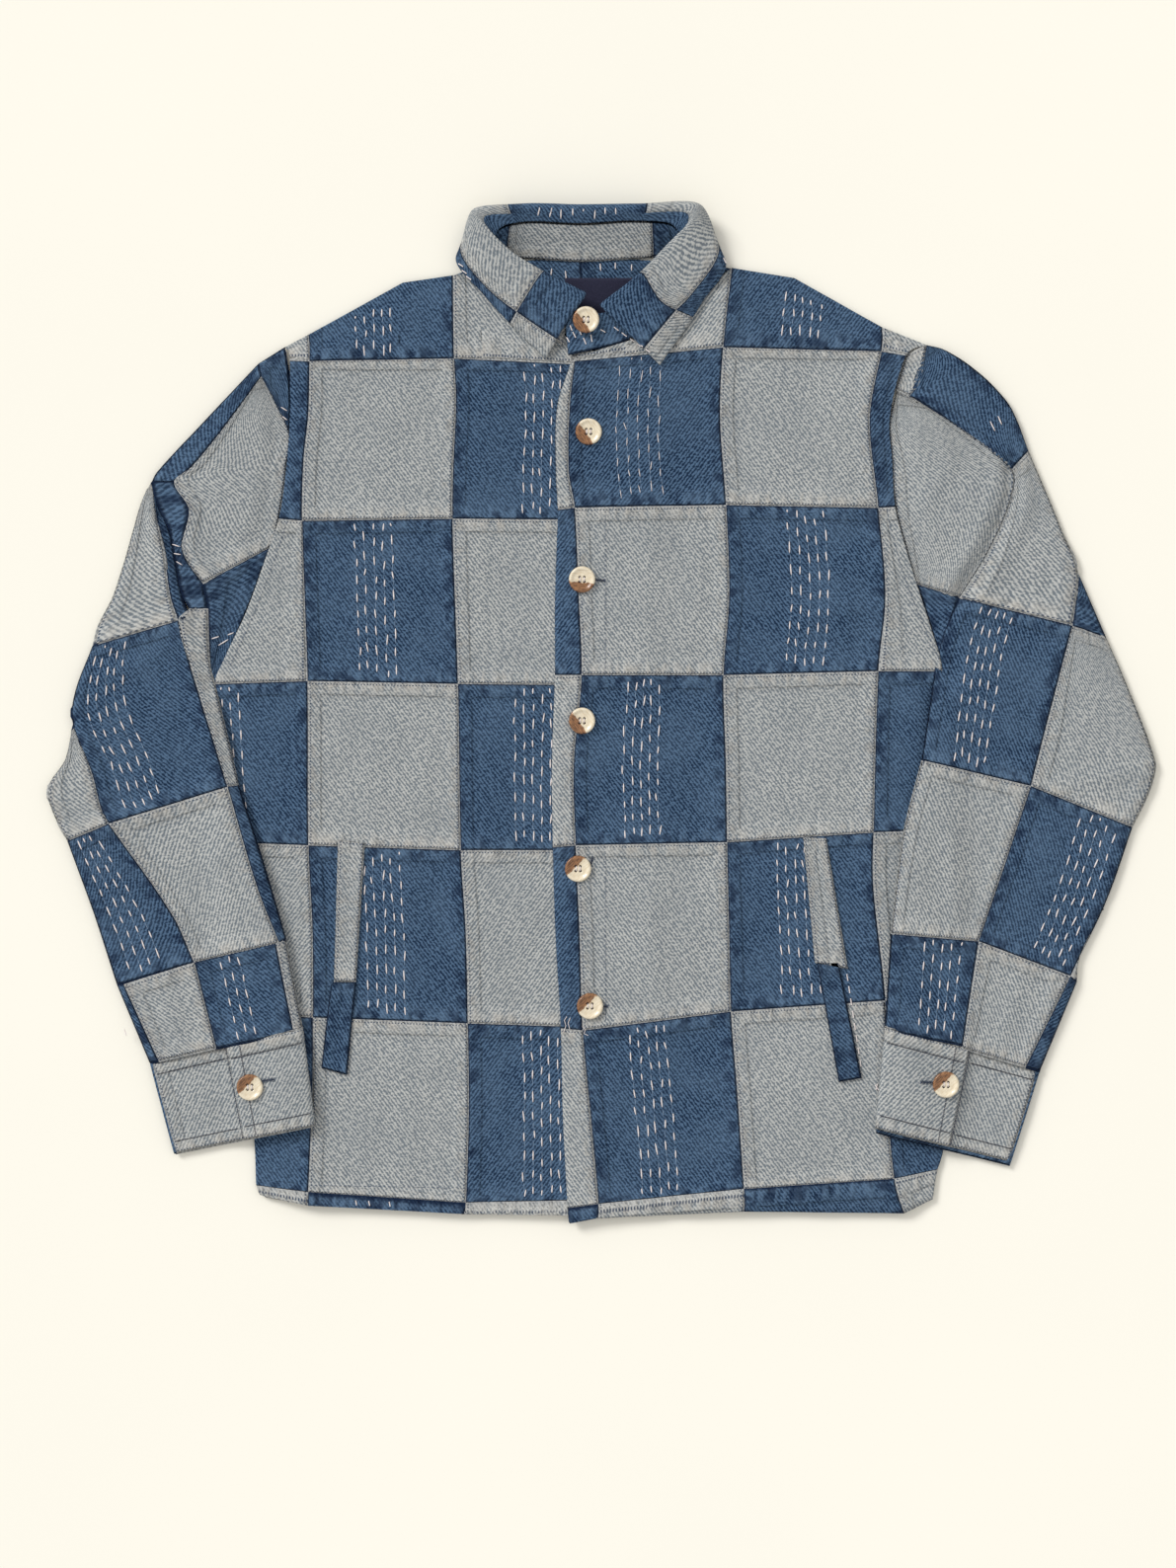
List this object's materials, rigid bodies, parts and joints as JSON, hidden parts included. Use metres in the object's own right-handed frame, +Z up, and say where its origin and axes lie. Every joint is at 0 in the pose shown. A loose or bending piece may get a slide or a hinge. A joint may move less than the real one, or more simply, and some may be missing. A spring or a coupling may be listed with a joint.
{
  "type": "patchwork denim jacket laid flat",
  "caption": "Buttoned patchwork denim overshirt laid flat on its back, with folded sleeves, buttoned cuffs, a pointed collar, slanted pocket welts and rows of running stitches",
  "frame": {"origin": "on the surface that the jacket lies on, under the centre of its bounding box", "axes": "+Z up from the surface, +Y towards the collar, +X towards the wearer's left sleeve"},
  "size_m": [0.84, 0.7721, 0.0232],
  "materials": {
    "patchwork_denim": "twill denim squares, right side and wrong side by turns, with off-white running stitches",
    "pale_denim": "pale grey-blue wrong side of twill denim",
    "navy_cloth": "plain navy cotton",
    "horn": "ivory and brown horn look, satin"
  },
  "bodies": {
    "root": {"back": "patchwork_denim", "right_front": "patchwork_denim", "left_front": "patchwork_denim", "right_sleeve": "patchwork_denim", "left_sleeve": "patchwork_denim", "right_cuff": "pale_denim", "left_cuff": "pale_denim", "collar": "patchwork_denim", "collar_stand": "patchwork_denim", "right_pocket_welt": "patchwork_denim", "left_pocket_welt": "patchwork_denim", "neck_patch": "navy_cloth", "button_1": "horn", "button_2": "horn", "button_3": "horn", "button_4": "horn", "button_5": "horn", "button_6": "horn", "right_cuff_button": "horn", "left_cuff_button": "horn"}
  },
  "joints": []
}
